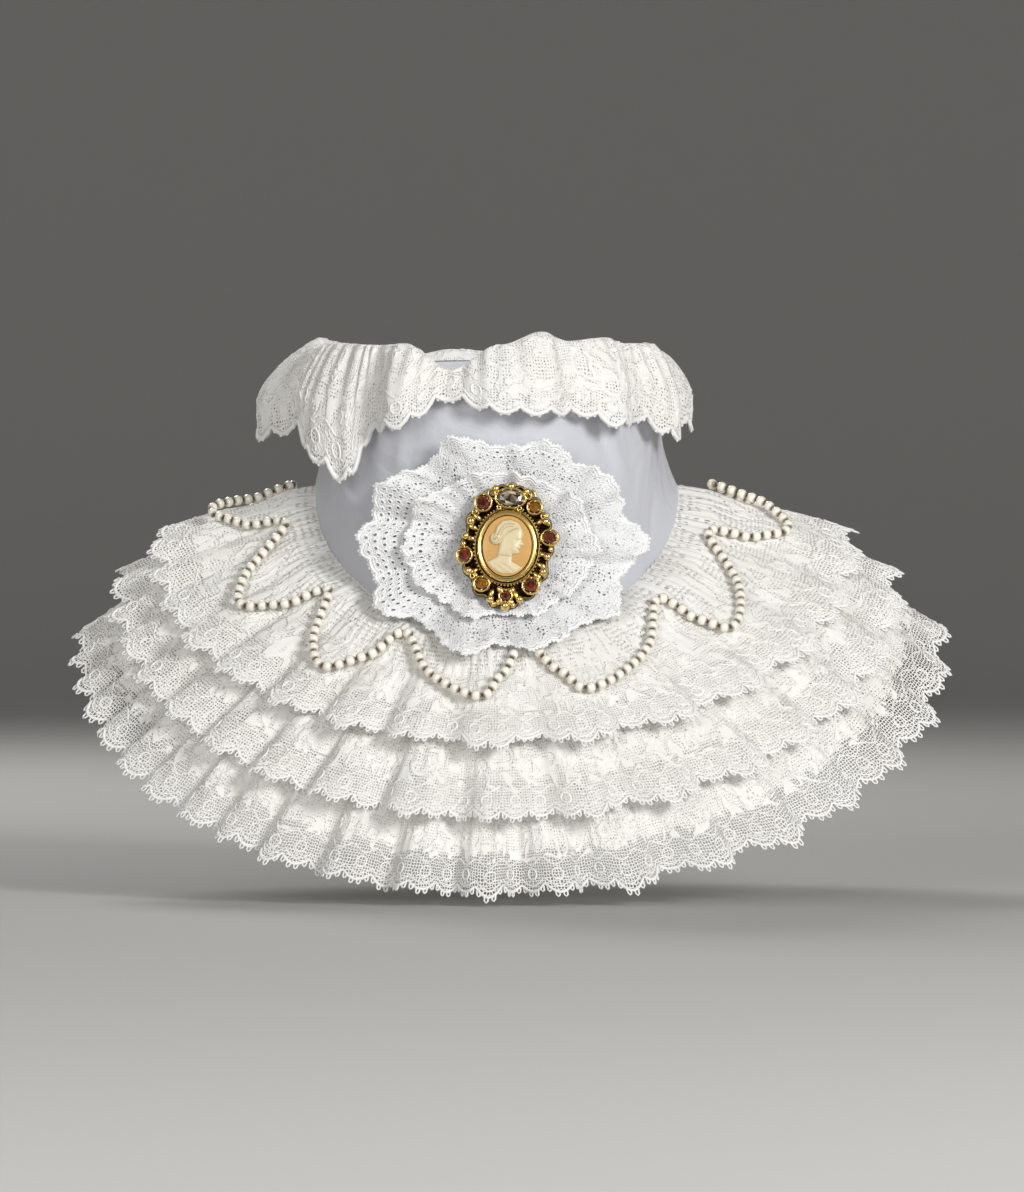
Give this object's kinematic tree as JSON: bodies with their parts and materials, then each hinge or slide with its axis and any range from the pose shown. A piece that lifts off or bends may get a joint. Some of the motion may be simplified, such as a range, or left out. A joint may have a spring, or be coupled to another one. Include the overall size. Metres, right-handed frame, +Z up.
{
  "type": "ruffled lace stand collar",
  "caption": "Stand collar with gathered lace tiers, top frill, swagged bead strings, throat rosette and oval cameo brooch, shaped as worn.",
  "frame": {"origin": "middle of the neck hollow, about a third of the way up the stand collar, at the height of the brooch's foot", "axes": "+Z up along the neck, +X to the wearer's left across the shoulders, the throat and the brooch face -Y"},
  "size_m": [0.3668, 0.2764, 0.2312],
  "materials": {
    "cotton": "matte sateen",
    "lace": "matte",
    "crochet": "matte",
    "pearl": "pearly gloss",
    "gold": "bright, darker in the hollows",
    "cameo": "satin",
    "garnet": "polished",
    "topaz": "polished",
    "crystal": "polished"
  },
  "bodies": {
    "root": {"neck_band": "cotton", "back_placket": "cotton", "tier_lower": "lace", "tier_middle": "lace", "tier_upper": "lace", "top_frill": "lace", "rosette_outer": "crochet", "rosette_inner": "crochet", "pearl_string_left": "pearl", "pearl_string_right": "pearl", "brooch_frame": "gold", "cameo": "cameo", "stone_crystal_top": "crystal", "stone_garnet_upper_left": "garnet", "stone_garnet_left": "garnet", "stone_topaz_lower_left": "topaz", "stone_garnet_foot": "garnet", "stone_garnet_lower_right": "garnet", "stone_garnet_right": "garnet", "stone_topaz_upper_right": "topaz"}
  },
  "joints": []
}
